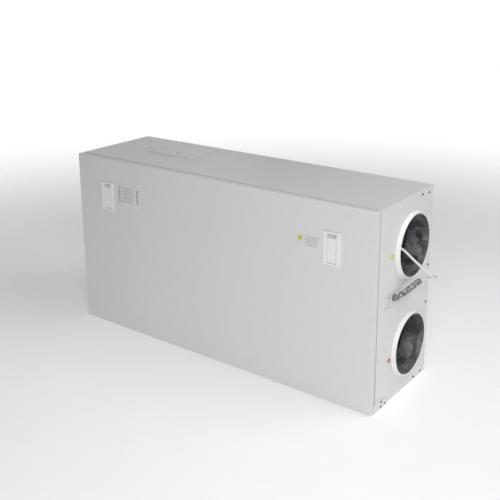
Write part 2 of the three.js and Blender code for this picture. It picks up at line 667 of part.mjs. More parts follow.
// ---------------------------------------------------------------- mains cord

const glandStem = 6;
const glandAt = [doorFace + 97, 280];

/** Hand-chosen points of the cord from the gland to its coil in the upper right chamber. */
const runPoints = [
  [508, -38, 280], [510, -30, 282], [514, -8, 286], [518, 14, 291], [523, 35, 297], [534, 49, 304],
  [548, 53, 310], [562, 47, 316], [571, 33, 321], [572, 16, 327], [566, 4, 338], [554, -2, 350],
  [532, -12, 371], [508, -24, 396], [493, -30, 403], [477, -32, 402], [461, -30, 391],
  [448, -26, 373], [438, -22, 352], [433, -19, 328], [421, -18, 305],
];

/** Hand-chosen points from the coil to the plug. */
const tailPoints = [
  [434, -5, 269.7], [431, -30, 271.5], [423, -51, 276], [410, -67, 281.5], [397, -74, 284.6],
  [385, -76, 285.3],
];

const coilCentre = [398, 19];

function curveOf(points) {
  return new THREE.CatmullRomCurve3(points.map((p) => new THREE.Vector3(...p)), false, 'centripetal');
}

/** Angled gland: a stem in the end panel, a round foot and an elbow whose mouth faces the back. */
function addGland() {
  const [y, z] = glandAt;
  const axis = runPoints[0][0];
  const stem = solid(barX(glandStem, [endFace - SHEET - 8, endFace + 2], y, z));
  const foot = solid(barX(9, [endFace + FIT, endFace + 2.8], y, z));
  const dome = solid(new THREE.SphereGeometry(7, 20, 12).translate(endFace + 6.5, y, z));
  const outer = solid(box([endFace + FIT, endFace + 30], [y - 12, y + 12], [z - 12, z + 12]));
  const mouthEnd = new THREE.CylinderGeometry(5.2, 6.4, 12, 24).translate(axis, y + 7, z);
  const boreRadius = CORD_RADIUS + 1.2;
  const bore = new THREE.CylinderGeometry(boreRadius, boreRadius, 16, 16).translate(axis, y + 13, z);
  const made = stem.add(foot).add(dome.intersect(outer)).add(solid(mouthEnd)).subtract(solid(bore));
  piece('cord_gland', made, greyPlastic);
}

function addCord() {
  piece('cord_run', swept(curveOf(runPoints), CORD_RADIUS, 74, 5), whitePlastic);

  const guarded = curveOf(runPoints.slice(1, 5));
  piece('cord_sleeve', swept(guarded, CORD_SLEEVE_RADIUS, 10, 9, CORD_RADIUS + 2), greyPlastic);

  const floor = chamberFloor + FIT;
  const height = COIL_TURNS * COIL_PITCH + 2 * CORD_RADIUS;
  const inner = COIL_RADIUS - CORD_RADIUS - FIT;
  const outer = COIL_RADIUS + CORD_RADIUS + FIT;
  const ring = new THREE.LatheGeometry([
    new THREE.Vector2(inner, 0), new THREE.Vector2(outer, 0), new THREE.Vector2(outer, height),
    new THREE.Vector2(inner, height), new THREE.Vector2(inner, 0),
  ], 32);
  piece('cord_coil', ring.rotateX(Math.PI / 2).translate(...coilCentre, floor), whitePlastic);

  piece('cord_tail', swept(curveOf(tailPoints), CORD_RADIUS, 16, 5), whitePlastic);
  addPlug();
}

/** Mains plug lying on the chamber floor: tapered strain relief, round body and two pins. */
function addPlug() {
  const [x, y] = [tailPoints.at(-1)[0] - 3 * FIT, tailPoints.at(-1)[1]];
  const z = chamberFloor + FIT + PLUG_RADIUS;
  const shell = turnedX([
    [x - 58, 0], [x - 58, PLUG_RADIUS - 1], [x - 57, PLUG_RADIUS], [x - 36, PLUG_RADIUS],
    [x - 26, 8], [x - 22, 6.5], [x, 4.5], [x, 0],
  ], y, z, 28);
  let plug = solid(shell);
  for (const side of [-1, 1]) {
    plug = plug.add(solid(barX(2.4, [x - 77, x - 57], y + side * 9.5, z, 12)));
  }
  piece('mains_plug', plug, whitePlastic);
}

// ---------------------------------------------------------------- assembly

addPanels();
addEndPanel('right_end_panel', 1);
addEndPanel('left_end_panel', -1);
addLinings();
addPort('extract', 1, portZ.high);
addPort('supply', 1, portZ.low);
addPort('outdoor', -1, portZ.high);
addPort('exhaust', -1, portZ.low);
addServiceBox();
addExchanger();
addDivider('right_divider', 1);
addDivider('left_divider', -1);
addTray();
addFilter('extract', 1);
addFilter('outdoor', -1);
addFan('supply', 1);
addFan('exhaust', -1);
addHeater();
addDoor();
addHinge('right_hinge_bracket', 1);
addHinge('left_hinge_bracket', -1);
for (const [name, x] of latches) addLatch(name, x);
addGland();
addCord();

export default group;
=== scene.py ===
# %% [markdown]
# # A flat heat recovery unit, finished for its portrait
# The frame below holds the machine's measured parts: sheet casing, door, ports, exchanger, filters and
# fans. This notebook gives each of them its real finish, and adds the small things that a measured model
# leaves out: rounded folds, lips, screws, ribs, stickers. Lengths are in metres.

# %% Load the frame
import json
import math

import bmesh
import bpy
import numpy as np
from mathutils import Matrix, Vector


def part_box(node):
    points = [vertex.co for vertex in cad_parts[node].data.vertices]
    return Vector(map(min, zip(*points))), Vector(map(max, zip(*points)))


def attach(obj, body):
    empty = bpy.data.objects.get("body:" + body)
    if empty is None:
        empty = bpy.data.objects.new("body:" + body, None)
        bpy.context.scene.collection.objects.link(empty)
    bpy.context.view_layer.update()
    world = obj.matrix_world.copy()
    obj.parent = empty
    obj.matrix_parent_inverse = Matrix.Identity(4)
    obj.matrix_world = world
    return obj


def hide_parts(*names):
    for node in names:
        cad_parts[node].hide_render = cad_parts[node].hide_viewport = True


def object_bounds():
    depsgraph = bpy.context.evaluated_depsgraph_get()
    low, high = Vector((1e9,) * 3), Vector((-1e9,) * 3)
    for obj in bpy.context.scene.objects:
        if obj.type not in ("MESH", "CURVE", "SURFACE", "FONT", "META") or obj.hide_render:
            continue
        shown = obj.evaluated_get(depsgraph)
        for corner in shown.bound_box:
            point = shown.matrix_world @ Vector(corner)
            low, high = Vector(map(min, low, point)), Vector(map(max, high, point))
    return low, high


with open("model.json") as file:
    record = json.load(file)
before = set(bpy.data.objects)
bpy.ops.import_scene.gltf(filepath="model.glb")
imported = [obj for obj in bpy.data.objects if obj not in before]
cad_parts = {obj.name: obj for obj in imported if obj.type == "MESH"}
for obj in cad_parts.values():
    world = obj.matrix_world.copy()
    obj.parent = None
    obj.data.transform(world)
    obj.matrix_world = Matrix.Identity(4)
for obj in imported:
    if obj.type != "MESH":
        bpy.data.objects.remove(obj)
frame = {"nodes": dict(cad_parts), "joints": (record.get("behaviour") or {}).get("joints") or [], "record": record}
frame_low, frame_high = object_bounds()
MM = 0.001
print("frame box in metres", [round(v, 4) for v in (*frame_low, *frame_high)])

# %% [markdown]
# The camera comes first. The unit is looked at from its right front and a little above, and the lens is
# moved down a little instead of tilting the camera, which keeps the casing's uprights almost parallel.
# The axes of the camera are built from two angles and a very small roll, so each of them can be read.

# %% Camera
AZIMUTH, ELEVATION, ROLL = math.radians(37.207), math.radians(15.564), math.radians(-0.4)


def camera_axes(azimuth, elevation, roll):
    """Right, up and backward directions of a camera that looks down by elevation, turned by azimuth."""
    ahead = Vector((-math.sin(azimuth) * math.cos(elevation), math.cos(azimuth) * math.cos(elevation),
                    -math.sin(elevation)))
    right = Vector((math.cos(azimuth), math.sin(azimuth), 0))
    up = right.cross(ahead)
    tilted_right = right * math.cos(roll) + up * math.sin(roll)
    tilted_up = up * math.cos(roll) - right * math.sin(roll)
    return tilted_right, tilted_up, -ahead


lens_data = bpy.data.cameras.new("portrait_camera")
lens_data.lens = 58.93
lens_data.sensor_width = 36
lens_data.shift_y = -0.13
camera = bpy.data.objects.new("portrait_camera", lens_data)
bpy.context.collection.objects.link(camera)
camera.matrix_world = Matrix([[*row, place] for row, place in
                              zip(np.array(camera_axes(AZIMUTH, ELEVATION, ROLL)).T.tolist(),
                                  (1.3366, -1.7238, 1.0777))] + [[0, 0, 0, 1]])
bpy.context.scene.camera = camera
print("camera stands at", [round(v, 3) for v in camera.location])

# %% [markdown]
# Every new piece is a grid of points. A grid has rows and columns, and each small square of it becomes a
# face. A row may close on itself, as round a pipe, and so may a column, as round a ring. Rows of one
# repeated point make a closed pole: merging the doubled points turns the squares there into triangles.

# %% Grids to meshes
def grid_faces(rows, columns, ring_rows, ring_columns, first):
    """Four corners for each square of a grid of points numbered row by row from first."""
    down = np.arange(rows if ring_columns else rows - 1)[:, None]
    across = np.arange(columns if ring_rows else columns - 1)[None, :]
    below, beside = (down + 1) % rows, (across + 1) % columns
    corners = (down * columns + across, below * columns + across,
               below * columns + beside, down * columns + beside)
    return first + np.stack(np.broadcast_arrays(*corners), -1).reshape(-1, 4)


def surface(points, ring_rows=True, ring_columns=False, lids=False):
    """A patch: the points of a grid of shape (rows, columns, 3) as a list, and its faces. lids closes the
    first and last row with one flat face each."""
    rows, columns = points.shape[:2]
    faces = grid_faces(rows, columns, ring_rows, ring_columns, 0).tolist()
    if lids:
        faces += [list(range(columns)), list(range(rows * columns - 1, (rows - 1) * columns - 1, -1))]
    return points.reshape(-1, 3), faces


def joined(patches):
    """Several patches as one, each one's faces counted on from the points before it."""
    points, faces, count = [], [], 0
    for some, these in patches:
        points.append(some)
        faces += [[corner + count for corner in face] for face in these]
        count += len(some)
    return np.concatenate(points), faces


def finished(name, patch, finish, body, replaces=(), smooth_to=38):
    """Makes the mesh of a patch, points its faces outwards, smooths what bends less than smooth_to
    degrees, gives it a finish and lets it ride on a body."""
    points, faces = patch
    mesh = bpy.data.meshes.new(name)
    mesh.from_pydata(points.tolist(), [], faces)
    shape = bmesh.new()
    shape.from_mesh(mesh)
    bmesh.ops.remove_doubles(shape, verts=shape.verts, dist=1e-7)
    bmesh.ops.recalc_face_normals(shape, faces=shape.faces)
    open_edges = sum(not edge.is_manifold for edge in shape.edges)
    shape.to_mesh(mesh)
    shape.free()
    mesh.polygons.foreach_set("use_smooth", np.ones(len(mesh.polygons), bool))
    mesh.set_sharp_from_angle(angle=math.radians(smooth_to))
    piece = bpy.data.objects.new(name, mesh)
    bpy.context.collection.objects.link(piece)
    mesh.materials.append(finish)
    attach(piece, body)
    if replaces:
        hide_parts(*replaces)
    print(f"{name}: {len(mesh.polygons)} faces" + (f", {open_edges} open edges" if open_edges else ""))
    return piece


# %% [markdown]
# Three families of shape cover nearly all of the small parts. A turned part is a profile spun about an
# axis. A drawn part is a circle carried along a line. A pad is a rectangle with round corners, stacked
# in rows that shrink towards its edge, as a moulded plate does.

# %% Turned, drawn and padded shapes
def upright(axis):
    """Two directions square to an axis, and the axis itself at unit length."""
    along = np.array(axis, float) / np.linalg.norm(axis)
    guess = np.array([0.0, 0.0, 1.0]) if abs(along[2]) < 0.9 else np.array([1.0, 0.0, 0.0])
    side = np.cross(guess, along)
    side /= np.linalg.norm(side)
    return side, np.cross(along, side), along


def turned(profile, centre, axis, around=48, ring=False):
    """Profile points (radius, height) spun about the axis through centre: each point goes to
    centre + height * axis + radius * (cos t * side + sin t * other side)."""
    side, other, along = upright(axis)
    radius, height = np.array(profile, float).T
    t = np.linspace(0, 2 * np.pi, around, endpoint=False)
    round_it = np.cos(t)[:, None] * side + np.sin(t)[:, None] * other
    points = np.array(centre) + height[:, None, None] * along + radius[:, None, None] * round_it
    return surface(points, ring_columns=ring)


def frames_along(line):
    """Directions along a line of points and two square to it at each point. The side direction is the
    part of one fixed direction that is square to the line, turned on so that it never flips."""
    ahead = np.gradient(line, axis=0)
    ahead /= np.linalg.norm(ahead, axis=1)[:, None]
    side = np.zeros_like(line)
    side[0] = upright(ahead[0])[0]
    for step in range(1, len(line)):
        turned_on = side[step - 1] - ahead[step] * (side[step - 1] @ ahead[step])
        side[step] = turned_on / np.linalg.norm(turned_on)
    return ahead, side, np.cross(ahead, side)


def drawn(line, radius, around=16):
    """A round bar along a line. radius is one number or one for each point; both ends close to a point."""
    ahead, side, other = frames_along(line)
    radius = np.broadcast_to(radius, len(line))
    t = np.linspace(0, 2 * np.pi, around, endpoint=False)
    ring = np.cos(t)[None, :, None] * side[:, None] + np.sin(t)[None, :, None] * other[:, None]
    points = line[:, None] + radius[:, None, None] * ring
    ends = (np.repeat(line[:1, None], around, 1), np.repeat(line[-1:, None], around, 1))
    return surface(np.concatenate([ends[0], points, ends[1]]))


def round_corners(half_a, half_b, radius, steps=6):
    """Corner points (a, b) of a rectangle with quarter circles of the radius at its corners."""
    t = np.linspace(0, np.pi / 2, steps)
    quarter = np.stack([np.cos(t), np.sin(t)], -1) * radius
    a, b = half_a - radius, half_b - radius
    turn = [np.array([[c, s], [-s, c]]) for c, s in ((1, 0), (0, 1), (-1, 0), (0, -1))]
    shift = [(a, b), (-a, b), (-a, -b), (a, -b)]
    return np.concatenate([quarter @ m + np.array(s) for m, s in zip(turn, shift)])


def pad(centre, axis, half_a, half_b, corner, thick, edge, steps=3, upward=None):
    """A plate with round corners and a rounded rim. Row k is the outline drawn in by edge * (1 - cos t),
    at the height thick - edge * (1 - sin t). It lies on centre and grows along axis."""
    side, other, along = upright(axis)
    if upward is not None:
        other = np.array(upward, float)
        side = np.cross(other, along)
    t = np.linspace(0, np.pi / 2, steps)
    inset = np.concatenate([[0.0], edge * (1 - np.cos(t))])
    height = np.concatenate([[0.0], thick - edge * (1 - np.sin(t))])
    rows = [np.array(centre) + h * along + (lambda flat: flat[:, :1] * side + flat[:, 1:] * other)(
        round_corners(half_a - i, half_b - i, max(corner - i, 1e-5))) for i, h in zip(inset, height)]
    return surface(np.array(rows), lids=True)


# %% [markdown]
# The mains lead leaves a small gland on the right end, makes a loose loop, and its spare length is put
# away in the upper port: over the rim, down into the chamber, into a flat coil, with the plug beside it.
# It is one smooth line through a few chosen points, a curve that passes through each of them and whose
# speed follows the square root of their spacing, which keeps it from overshooting in tight turns.

# %% The lead's line
FREE_POINTS = [(508, -38, 280), (510, -30, 282), (514, -8, 286), (518, 14, 291), (523, 35, 297),
               (534, 49, 304), (548, 53, 310), (562, 47, 316), (571, 33, 321), (572, 16, 327),
               (566, 4, 338), (554, -2, 350), (532, -12, 371), (508, -24, 396), (493, -30, 403),
               (477, -32, 402), (461, -30, 391), (448, -26, 373), (438, -22, 352), (433, -19, 328),
               (421, -18, 305)]
TAIL_POINTS = [(434, -5, 269.7), (431, -30, 271.5), (423, -51, 276), (410, -67, 281.5), (397, -74, 284.6),
               (385, -76, 285.3)]
COIL_MIDDLE, COIL_RADIUS, COIL_TURNS, COIL_PITCH = (398, 19), 36, 3.75, 6.6
CORD_RADIUS, CHAMBER_FLOOR = 3, 266.3


def coil_points():
    """Clockwise turns on a cylinder, from its front side at the top down to the chamber floor."""
    share = np.linspace(0, 1, int(COIL_TURNS * 24) + 1)
    angle = -np.pi / 2 - share * COIL_TURNS * 2 * np.pi
    drop = (1 - share) * COIL_TURNS * COIL_PITCH
    x, y = COIL_MIDDLE[0] + COIL_RADIUS * np.cos(angle), COIL_MIDDLE[1] + COIL_RADIUS * np.sin(angle)
    return np.stack([x, y, CHAMBER_FLOOR + CORD_RADIUS + drop], -1)


def smooth_line(points, per_span=6):
    """The centripetal curve through points: knots are spaced by the square root of each step's length,
    and three rounds of mixing between neighbours give the points between two knots."""
    points = np.array(points, float)
    points = np.concatenate([2 * points[:1] - points[1:2], points, 2 * points[-1:] - points[-2:-1]])
    step = np.sqrt(np.linalg.norm(np.diff(points, axis=0), axis=1))
    knots = np.concatenate([[0], np.cumsum(step)])
    spans = []
    for k in range(1, len(points) - 2):
        t = np.linspace(knots[k], knots[k + 1], per_span, endpoint=False)[:, None]
        p, n = points[k - 1:k + 3], knots[k - 1:k + 3]
        mix = lambda a, b, start, stop: ((stop - t) * a + (t - start) * b) / (stop - start)
        a = [mix(p[i], p[i + 1], n[i], n[i + 1]) for i in range(3)]
        b = [mix(a[i], a[i + 1], n[i], n[i + 2]) for i in range(2)]
        spans.append(mix(b[0], b[1], n[1], n[2]))
    return np.concatenate([*spans, points[-2:-1]])


lead_line = smooth_line([*FREE_POINTS, *coil_points(), *TAIL_POINTS]) * MM
lead_steps = np.linalg.norm(np.diff(lead_line, axis=0), axis=1)

# %% [markdown]
# A finish is a small program: places on the surface go in, and colour, roughness and bumps come out.
# Written with plain arithmetic it stays readable, so one class wraps a socket and turns +, -, * and / on
# it into Math nodes. A second class holds the material, and puts in every other node with one method.

# %% Shader arithmetic
def feed(tree, socket, value):
    """Links a wire to a socket, or sets the socket to a plain value."""
    if isinstance(value, Wire):
        tree.links.new(value.socket, socket)
    else:
        socket.default_value = value


class Wire:
    """A value that flows between nodes. Arithmetic on it adds the Math node that works it out."""

    def __init__(self, tree, socket):
        self.tree, self.socket = tree, socket

    def math(self, operation, *ends):
        node = self.tree.nodes.new("ShaderNodeMath")
        node.operation = operation
        for socket, end in zip(node.inputs, ends):
            feed(self.tree, socket, end)
        return Wire(self.tree, node.outputs[0])

    def __add__(self, other):
        return self.math("ADD", self, other)

    def __sub__(self, other):
        return self.math("SUBTRACT", self, other)

    def __rsub__(self, other):
        return self.math("SUBTRACT", other, self)

    def __mul__(self, other):
        return self.math("MULTIPLY", self, other)

    def __truediv__(self, other):
        return self.math("DIVIDE", self, other)

    def __mod__(self, other):
        return self.math("FLOORED_MODULO", self, other)

    def __abs__(self):
        return self.math("ABSOLUTE", self)

    def wave(self):
        return self.math("SINE", self)

    def power(self, exponent):
        return self.math("POWER", self, exponent)

    __radd__, __rmul__ = __add__, __mul__


class Finish:
    """A material with a Principled shader. Sockets that are the same all over are set by name."""

    def __init__(self, name, **steady):
        self.material = bpy.data.materials.new(name)
        self.material.use_nodes = True
        self.tree = self.material.node_tree
        self.shader = self.tree.nodes["Principled BSDF"]
        for key, value in steady.items():
            self.shader.inputs[key.replace("_", " ")].default_value = value
        self.place = self.node("ShaderNodeTexCoord")("Object")
        split = self.node("ShaderNodeSeparateXYZ", sockets={"Vector": self.place})
        self.x, self.y, self.z = split("X"), split("Y"), split("Z")

    def node(self, kind, settings=None, sockets=None):
        """Adds a node: its settings first, then its sockets. The result, called with a name or number,
        gives that output as a wire."""
        node = self.tree.nodes.new(kind)
        for key, value in (settings or {}).items():
            if key == "stops":
                ramp = node.color_ramp
                for position, colour in value[2:]:
                    ramp.elements.new(position).color = colour
                for element, (position, colour) in zip((ramp.elements[0], ramp.elements[-1]), value[:2]):
                    element.position, element.color = position, colour
            else:
                setattr(node, key, value)
        for key, value in (sockets or {}).items():
            feed(self.tree, node.inputs[key], value)
        return lambda key: Wire(self.tree, node.outputs[key])

    def noise(self, scale, detail=2.0, rough=0.5, at=None):
        """Cloudy noise with about scale blobs in a metre, mostly between 0.3 and 0.7."""
        return self.node("ShaderNodeTexNoise", {}, {"Vector": at or self.place, "Scale": scale,
                                                    "Detail": detail, "Roughness": rough})("Fac")

    def cells(self, scale, output="Distance", feature="F1", at=None):
        """Voronoi cells, scale of them in a metre: their distance field, or one grey for each cell."""
        return self.node("ShaderNodeTexVoronoi", {"feature": feature}, {"Vector": at or self.place,
                                                                        "Scale": scale})(output)

    def stretched(self, *factors):
        """Object coordinates multiplied by three numbers, which stretches a pattern along an axis."""
        return self.node("ShaderNodeVectorMath", {"operation": "MULTIPLY"},
                         {0: self.place, 1: factors})("Vector")

    def between(self, value, low, high):
        """0 below low, 1 above high, and a smooth step between."""
        return self.node("ShaderNodeMapRange", {"interpolation_type": "SMOOTHSTEP"},
                         {"Value": value, "From Min": low, "From Max": high})("Result")

    def blend(self, share, colour, other):
        """Colour at share 0, the other one at share 1."""
        return self.node("ShaderNodeMix", {"data_type": "RGBA"}, {0: share, 6: colour, 7: other})(2)

    def bump(self, height, depth, below=None):
        """Turns a height from 0 to 1 into tilted normals, depth metres deep, over another bump if given."""
        sockets = {"Height": height, "Distance": depth, "Strength": 1.0}
        if below:
            sockets["Normal"] = below
        return self.node("ShaderNodeBump", {}, sockets)("Normal")

    def done(self, **varying):
        """Links what varies over the surface and hands over the material."""
        for key, value in varying.items():
            feed(self.tree, self.shader.inputs[key.replace("_", " ")], value)
        return self.material


def grey(level, warm=0.0):
    """An opaque grey, a little warmer or cooler."""
    return (level * (1 + warm), level, level * (1 - warm), 1.0)


print("shader tools are ready")

# %% [markdown]
# Powder coat is baked paint. It lies on sheet steel as a thin skin with a fine orange peel, the sheet
# under it is never quite flat, and a little grey dust gathers low down. Three scales of noise give these:
# about two millimetres for the peel, a third of a metre for the sheet, and a few centimetres for dust.

# %% Powder coat on sheet
def powder_coat(name, tone, warm=0.0):
    paint = Finish(name, Coat_Roughness=0.28, Specular_IOR_Level=0.45)
    peel, sheet_sway, dust = paint.noise(520, 2), paint.noise(3.2, 1), paint.noise(34, 5, 0.62)
    settled = paint.between(paint.z, 0.04, 0.0) * paint.between(dust, 0.42, 0.75)
    speck = paint.between(paint.noise(1500, 1), 0.69, 0.74)
    shade = paint.blend(dust, grey(tone * 1.02, warm), grey(tone * 0.965, warm))
    dusted = paint.blend(settled * 0.12, shade, grey(tone * 0.72, 0.03))
    return paint.done(Base_Color=paint.blend(speck * 0.25, dusted, grey(tone * 0.75)),
                      Roughness=0.38 + dust * 0.1 + settled * 0.1,
                      Coat_Weight=0.22 - settled * 0.1,
                      Normal=paint.bump(peel, 0.00011, paint.bump(sheet_sway, 0.0035)))


white_paint = powder_coat("white_powder_coat", 0.74)
door_paint = powder_coat("white_door_coat", 0.72)
print("two powder coats")

# %% [markdown]
# Zinc on a dipped sheet freezes in flat crystals, the spangle. Each crystal reflects a little differently, so
# every Voronoi cell gets its own grey and its own roughness, and a finer net of cells and a fine grain run through
# all.

# %% Galvanised sheet
def zinc(name, tone=0.56, spangle=95, contrast=1.0):
    metal = Finish(name, Metallic=1.0)
    crystal = metal.cells(spangle, "Color") * 1.0
    fine = metal.cells(spangle * 3.1, "Color") * 1.0
    cloud = metal.noise(22, 4)
    level = metal.between(crystal * 0.65 + fine * 0.35, 0.1, 0.9)
    darker, lighter = [grey(tone * (1 + share * contrast), -0.03) for share in (-0.26, 0.22)]
    oxide = metal.between(cloud, 0.52, 0.75) * 0.4 * contrast
    whitish = metal.blend(oxide, metal.blend(level, darker, lighter), grey(0.62))
    return metal.done(Base_Color=whitish, Roughness=0.26 + level * 0.2 * contrast + cloud * 0.12,
                      Normal=metal.bump(crystal * contrast + metal.noise(900, 2) * 0.3, 0.00007))


galvanised = zinc("galvanised_sheet")
sleeve_zinc = zinc("rolled_sleeve_zinc", 0.66, 46, 0.75)
bright_zinc = zinc("bright_zinc", 0.68, 420)
dark_screw = Finish("blackened_screw", Metallic=0.85)
dark_screw = dark_screw.done(Base_Color=dark_screw.blend(dark_screw.noise(700, 3), grey(0.05), grey(0.16)),
                             Roughness=0.3 + dark_screw.noise(1400, 2) * 0.25,
                             Normal=dark_screw.bump(dark_screw.noise(1800, 2), 0.00003))
print("zinc, plated steel and blackened screws")

# %% [markdown]
# Moulded plastic copies the skin of its mould: a very fine grain, slightly rougher where hands and tools
# have touched it. One recipe does for every moulded part, and only its colour and grain differ.

# %% Moulded plastics, rubber and cord
def moulded(name, tone, warm=0.0, shine=0.36, grain=0.00005, spread=0.06):
    plastic = Finish(name, Specular_IOR_Level=0.5)
    skin, cloud = plastic.noise(1700, 2), plastic.noise(42, 4)
    darker, lighter = grey(tone * (1 - spread), warm), grey(tone * (1 + spread), warm)
    return plastic.done(Base_Color=plastic.blend(cloud, darker, lighter),
                        Roughness=shine + cloud * 0.14 + skin * 0.05,
                        Normal=plastic.bump(skin, grain))


white_plastic = moulded("white_moulding", 0.84, 0.006, 0.3, 0.00004, 0.015)
black_plastic = moulded("black_moulding", 0.03, 0.0, 0.42, 0.00008, 0.2)
grey_plastic = moulded("grey_moulding", 0.2, -0.02, 0.45, 0.00008, 0.1)
guard_grey = Finish("guard_sheath", Specular_IOR_Level=0.5)
guard_wear = guard_grey.between(guard_grey.noise(170, 3), 0.42, 0.6)
guard_grey = guard_grey.done(Base_Color=guard_grey.blend(guard_wear, grey(0.1, -0.02), grey(0.42, -0.02)),
                             Roughness=0.4 + guard_wear * 0.15,
                             Normal=guard_grey.bump(guard_grey.noise(900, 2), 0.00008))
blank_grey = moulded("cable_blank", 0.5, -0.02, 0.4, 0.00005, 0.1)
lead_white = moulded("lead_sheath", 0.72, 0.004, 0.42, 0.00005, 0.04)
seal_rubber = moulded("cellular_seal", 0.035, 0.0, 0.8, 0.0004, 0.2)
print("seven moulded finishes")

# %% [markdown]
# The lining is foam steamed together from beads, which stay visible as a net of small polygons, each bead
# slightly domed and shaded. The distance to a Voronoi cell's edge gives the net and the domes at once.

# %% Bead foam
def bead_foam(name, tone):
    foam = Finish(name, Specular_IOR_Level=0.25)
    edge = foam.cells(260, "Distance", "DISTANCE_TO_EDGE")
    bead = foam.cells(260, "Color") * 1.0
    dome = foam.between(edge, 0.0, 0.2)
    colour = foam.blend(bead, grey(tone * 0.75), grey(tone * 1.3))
    return foam.done(Base_Color=foam.blend(1.0 - foam.between(edge, 0.0, 0.05), colour, grey(tone * 0.45)),
                     Roughness=0.82 - dome * 0.14,
                     Normal=foam.bump(dome + foam.noise(1300, 2) * 0.25, 0.0004))


lining_foam = bead_foam("bead_foam", 0.075)
print("bead foam")

# %% [markdown]
# The exchanger is a stack of thin embossed sheets. Its sloping faces show the sheets' edges as fine lines across
# the depth of the casing, with slots where one air stream enters, and its ends are plain sheet. The slots are not
# cut: the shade inside them is painted in near black.

# %% Exchanger sheets
def stacked_sheets(name):
    stack = Finish(name, Metallic=0.75)
    line = abs(stack.y % 0.0034 - 0.0017) / 0.0017
    slot_mask = stack.between(line, 0.42, 0.3)
    rib = abs((stack.x + stack.z * 0.6) % 0.011 - 0.0055) / 0.0055
    kiss = stack.between(rib, 0.8, 0.92)
    # The slots are not cut: the shade inside them is painted near black, with a rougher, sunken bump.
    slot_painted_shade = slot_mask * (1.0 - kiss)
    bright = stack.blend(stack.noise(120, 3), grey(0.5), grey(0.74))
    return stack.done(Base_Color=stack.blend(slot_painted_shade, bright, grey(0.02)),
                      Roughness=0.3 + slot_painted_shade * 0.5 + stack.noise(300, 2) * 0.12,
                      Normal=stack.bump(1.0 - slot_painted_shade, 0.0011))


exchanger_sheets = stacked_sheets("exchanger_sheets")


def brushed(name, tone, lines):
    """Aluminium with fine brush lines: noise stretched along X, so that it is long there and short across."""
    metal = Finish(name, Metallic=1.0)
    streak = metal.noise(lines, 3, 0.6, metal.stretched(0.04, 1.0, 1.0))
    return metal.done(Base_Color=metal.blend(streak, grey(tone * 0.9), grey(tone * 1.08)),
                      Roughness=0.24 + streak * 0.26, Normal=metal.bump(streak, 0.00006))


aluminium = brushed("brushed_aluminium", 0.74, 900)
print("exchanger sheets and aluminium")

# %% [markdown]
# Fleece is a felt of fine fibres, so its noise is stretched hard in two crossing directions. Card has
# short fibres and a warmer, uneven tone. Webbing is a twill: two sets of diagonal ribs that cross.

# %% Fleece, card and webbing
def fleece(name):
    felt = Finish(name, Specular_IOR_Level=0.2, Sheen_Weight=0.15)
    one = felt.noise(1600, 3, 0.6, felt.stretched(1.0, 0.12, 1.0))
    two = felt.noise(1600, 3, 0.6, felt.stretched(1.0, 1.0, 0.12))
    fibre, cloud = (one + two) * 0.5, felt.noise(30, 4)
    return felt.done(Base_Color=felt.blend(felt.between(fibre, 0.38, 0.62) * 0.6 + cloud * 0.4,
                                           (0.66, 0.65, 0.6, 1), (0.86, 0.85, 0.81, 1)),
                     Roughness=0.85 + fibre * 0.1, Normal=felt.bump(fibre, 0.0004))


def card(name):
    board = Finish(name, Specular_IOR_Level=0.3)
    fibre, cloud = board.noise(900, 4, 0.65), board.noise(18, 4)
    brown, straw = (0.46, 0.36, 0.24, 1), (0.7, 0.59, 0.44, 1)
    return board.done(Base_Color=board.blend(fibre * 0.5 + cloud * 0.5, brown, straw),
                      Roughness=0.72 + cloud * 0.14, Normal=board.bump(fibre, 0.00018))


def webbing(name):
    weave = Finish(name, Specular_IOR_Level=0.3, Sheen_Weight=0.2)
    rib = ((weave.x + weave.y + weave.z) * 2600).wave() * 0.5 + 0.5
    cross = ((weave.x - weave.y * 1.0 + weave.z) * 1500).wave() * 0.5 + 0.5
    height = rib * 0.6 + cross * 0.4
    return weave.done(Base_Color=weave.blend(height, (0.012, 0.02, 0.05, 1), (0.06, 0.09, 0.17, 1)),
                      Roughness=0.7 + cross * 0.15, Normal=weave.bump(height, 0.0003))


filter_fleece, filter_card = fleece("filter_fleece"), card("grey_card")
strap_webbing = webbing("pull_webbing")


def circuit(name):
    """Solder mask over copper: a grid of narrow tracks shows through it as a lighter green."""
    board = Finish(name, Specular_IOR_Level=0.5, Coat_Weight=0.4)
    across = board.between(abs(board.x % 0.0025 - 0.00125), 0.0011, 0.0009)
    along = board.between(abs(board.y % 0.0041 - 0.00205), 0.0018, 0.0016)
    patch = board.between(board.cells(120, "Color") * 1.0, 0.45, 0.5)
    track = (1.0 - across) * patch + (1.0 - along) * (1.0 - patch)
    return board.done(Base_Color=board.blend(track, (0.01, 0.11, 0.04, 1), (0.04, 0.24, 0.1, 1)),
                      Roughness=0.3 + board.noise(400, 2) * 0.15, Normal=board.bump(track, 0.00004))


circuit_green = circuit("solder_mask")
print("fleece, card, webbing and a circuit board")

# %% [markdown]
# Folded sheet has no sharp corner: a press leaves a radius of two or three sheet thicknesses. The measured
# panels have sharp ones, so each outer panel is copied, its facets are joined into flat faces, and the
# chosen edges are rounded. A bevel does this better than a new surface, since the holes stay in place.

